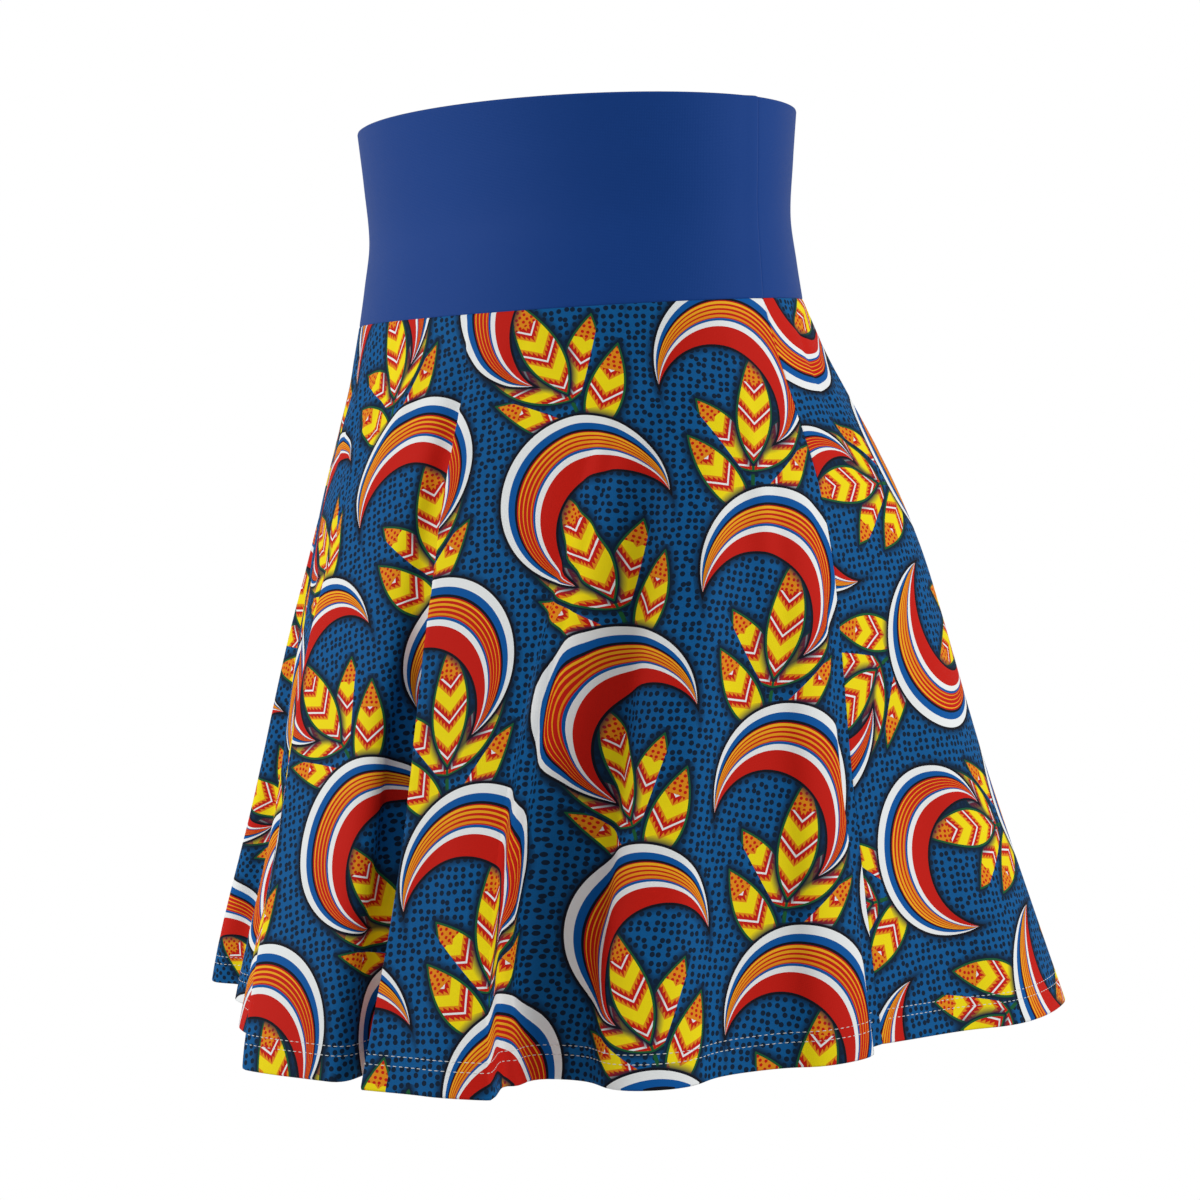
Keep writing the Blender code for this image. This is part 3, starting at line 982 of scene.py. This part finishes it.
def finished(piece):
    """The piece as a plain mesh, its modifiers applied and removed."""
    evaluated = piece.evaluated_get(bpy.context.evaluated_depsgraph_get())
    mesh = bpy.data.meshes.new_from_object(evaluated)
    piece.modifiers.clear()
    piece.data = mesh
    return piece


def hem_stitches(panel, tree, thread):
    """Both rows of stitches along one panel's hem."""
    grid, points, normal = skirt_surface(panel)
    line_points = []
    line_edges = []
    line_facing = []
    for above in STITCH_ROWS:
        line, facing = hem_line(grid, points, normal, above)
        line = line[len(EDGE_PLACES):-len(EDGE_PLACES)]
        facing = facing[len(EDGE_PLACES):-len(EDGE_PLACES)]
        start = len(line_points)
        line_points += line
        line_facing += facing
        line_edges += [(start + step, start + step + 1) for step in range(len(line) - 1)]
    name = "hem_stitches_" + panel
    mesh = bpy.data.meshes.new(name)
    mesh.from_pydata(line_points, line_edges, [])
    attribute = mesh.attributes.new("facing", "FLOAT_VECTOR", "POINT")
    attribute.data.foreach_set("vector", np.array(line_facing, dtype=np.float32).reshape(-1))
    piece = bpy.data.objects.new(name, mesh)
    bpy.context.scene.collection.objects.link(piece)
    sewing = piece.modifiers.new("sewing", "NODES")
    sewing.node_group = tree
    set_input(sewing, "Stitch pitch", STITCH_PITCH)
    set_input(sewing, "Stitch length", STITCH_LENGTH)
    set_input(sewing, "Thread radius", THREAD_RADIUS)
    set_input(sewing, "Thread", thread)
    return finished(piece)


# ---- dressing -----------------------------------------------------------------------------

def dress():
    """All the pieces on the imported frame."""
    face = printed_knit()
    wrong_side = printed_knit_back()
    blue = band_knit()
    thread = sewing_thread()
    stitches = stitch_tree()
    for panel in ("front", "back"):
        band = band_piece(panel, blue)
        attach(band, "root")
        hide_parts("waistband_" + panel)
        skirt = skirt_piece(panel, [face, wrong_side])
        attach(skirt, "root")
        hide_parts("skirt_" + panel)
        sewing = hem_stitches(panel, stitches, thread)
        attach(sewing, "root")
        drop = FRONT_DROP if panel == "front" else BACK_DROP
        mean_drop = drop * 2 / math.pi  # as it swells like a sine from side to side
        outer_radius = INNER_RADIUS + SIDE_LENGTH + mean_drop
        area = PANEL_ANGLE / 2 * (outer_radius ** 2 - INNER_RADIUS ** 2)


# ---- studio -------------------------------------------------------------------------------

FLOOR_HEIGHT = -1.05  # the wearer's waist is this far above the floor
FLOOR_REACH = 40.0  # from its middle to its sides
SURROUNDING_LIGHT = 0.44
LAMP_PLACES = {"right": (2.08, 1.20, 0.70), "left": (-1.20, -2.08, 0.50)}
LAMP_TARGET = (0.0, 0.0, -0.18)
LAMP_SIZE = 1.0
LAMP_POWER = 34.0

VIEW_TURN = math.radians(50)  # from the wearer's front towards the left
VIEW_PITCH = math.radians(-2.53)
VIEW_ROLL = math.radians(-1.33)
VIEW_DISTANCE = 1.51
VIEW_SHIFT = 0.009  # of the camera to its right
VIEW_HEIGHT = -0.1306
LENS = 84.96  # focal length, in millimetres


def floor():
    """A wide pale floor under the skirt."""
    material = bpy.data.materials.new("pale_floor")
    material.use_nodes = True
    surface = material.node_tree.nodes["Principled BSDF"]
    surface.inputs["Base Color"].default_value = (0.0, 0.0, 0.0, 1.0)
    surface.inputs["Roughness"].default_value = 0.9
    surface.inputs["Specular IOR Level"].default_value = 0.0
    surface.inputs["Emission Color"].default_value = (1.0, 1.0, 1.0, 1.0)
    surface.inputs["Emission Strength"].default_value = 1.0
    signs = [(-1, -1), (1, -1), (1, 1), (-1, 1)]
    corners = [(x * FLOOR_REACH, y * FLOOR_REACH, FLOOR_HEIGHT) for x, y in signs]
    mesh = bpy.data.meshes.new("floor")
    mesh.from_pydata(corners, [], [(0, 1, 2, 3)])
    mesh.materials.append(material)
    ground = bpy.data.objects.new("floor", mesh)
    bpy.context.scene.collection.objects.link(ground)
    ground.visible_diffuse = False
    ground.visible_glossy = False


def soft_light(name, place):
    """One large square lamp that points at the skirt."""
    lamp = bpy.data.lights.new(name, "AREA")
    lamp.shape = "SQUARE"
    lamp.size = LAMP_SIZE
    lamp.energy = LAMP_POWER
    item = bpy.data.objects.new(name, lamp)
    bpy.context.scene.collection.objects.link(item)
    item.location = place
    direction = Vector(LAMP_TARGET) - Vector(place)
    item.rotation_euler = direction.to_track_quat("-Z", "Y").to_euler()


def studio():
    """White surroundings, dimmer for the cloth than for the eye, and soft lamps."""
    world = bpy.data.worlds.new("studio")
    world.use_nodes = True
    tree = world.node_tree
    dim = tree.nodes["Background"]
    dim.inputs["Color"].default_value = (1.0, 1.0, 1.0, 1.0)
    dim.inputs["Strength"].default_value = SURROUNDING_LIGHT
    white = tree.nodes.new("ShaderNodeBackground")
    white.inputs["Color"].default_value = (1.0, 1.0, 1.0, 1.0)
    white.inputs["Strength"].default_value = 1.0
    rays = tree.nodes.new("ShaderNodeLightPath")
    chosen = tree.nodes.new("ShaderNodeMixShader")
    tree.links.new(rays.outputs["Is Camera Ray"], chosen.inputs[0])
    tree.links.new(dim.outputs[0], chosen.inputs[1])
    tree.links.new(white.outputs[0], chosen.inputs[2])
    tree.links.new(chosen.outputs[0], tree.nodes["World Output"].inputs["Surface"])
    bpy.context.scene.world = world
    for name, place in LAMP_PLACES.items():
        soft_light(name, place)
    bpy.context.scene.view_settings.view_transform = "Standard"


def camera():
    """The view from the wearer's left front."""
    lens = bpy.data.cameras.new("camera")
    lens.lens = LENS
    lens.sensor_width = 36.0
    item = bpy.data.objects.new("camera", lens)
    bpy.context.scene.collection.objects.link(item)
    right = Vector((math.cos(VIEW_TURN), math.sin(VIEW_TURN), 0.0))
    level = Vector((-math.sin(VIEW_TURN), math.cos(VIEW_TURN), 0.0))
    forward = level * math.cos(VIEW_PITCH) + Vector((0.0, 0.0, math.sin(VIEW_PITCH)))
    up = right.cross(forward)
    image_right = right * math.cos(VIEW_ROLL) + up * math.sin(VIEW_ROLL)
    image_up = up * math.cos(VIEW_ROLL) - right * math.sin(VIEW_ROLL)
    place = level * -VIEW_DISTANCE + right * VIEW_SHIFT + Vector((0.0, 0.0, VIEW_HEIGHT))
    axes = Matrix((image_right, image_up, -forward)).transposed()
    item.matrix_world = Matrix.Translation(place) @ axes.to_4x4()
    bpy.context.scene.camera = item


camera()
studio()
floor()
dress()
